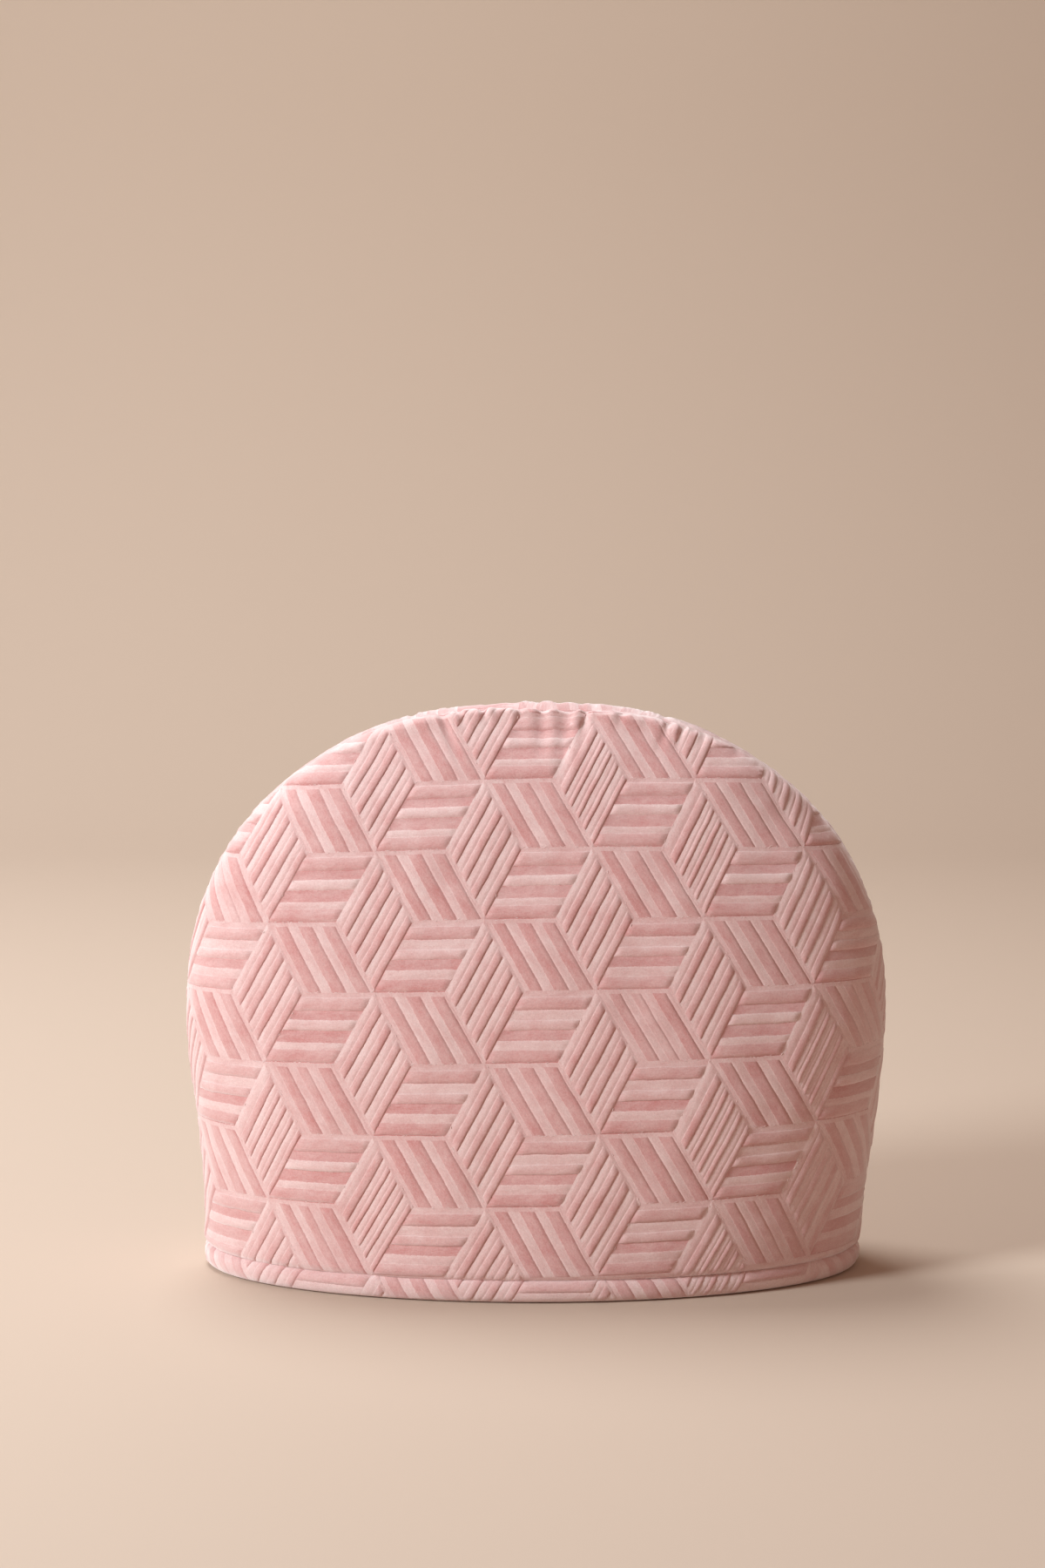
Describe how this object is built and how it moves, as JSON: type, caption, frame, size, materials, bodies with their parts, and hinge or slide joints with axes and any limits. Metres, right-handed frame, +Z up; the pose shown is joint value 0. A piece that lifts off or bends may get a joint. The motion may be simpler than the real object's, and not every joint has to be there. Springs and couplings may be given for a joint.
{
  "type": "tea cosy",
  "caption": "Padded velvet cover for a teapot: two domed arched panels seamed over the crown, open underneath, with a rolled binding round the lower edge.",
  "frame": {"origin": "centre of the cosy's box, on the surface that the hem rests on", "axes": "+X across the front from left to right, +Y from the front to the back, +Z up"},
  "size_m": [0.3207, 0.1403, 0.2619],
  "materials": {
    "panel_velvet": "dusty pink velvet with raised bands of pile",
    "binding_velvet": "dusty pink velvet, rolled over padding"
  },
  "bodies": {
    "root": {"front_panel": "panel_velvet", "back_panel": "panel_velvet", "hem_binding": "binding_velvet"}
  },
  "joints": []
}
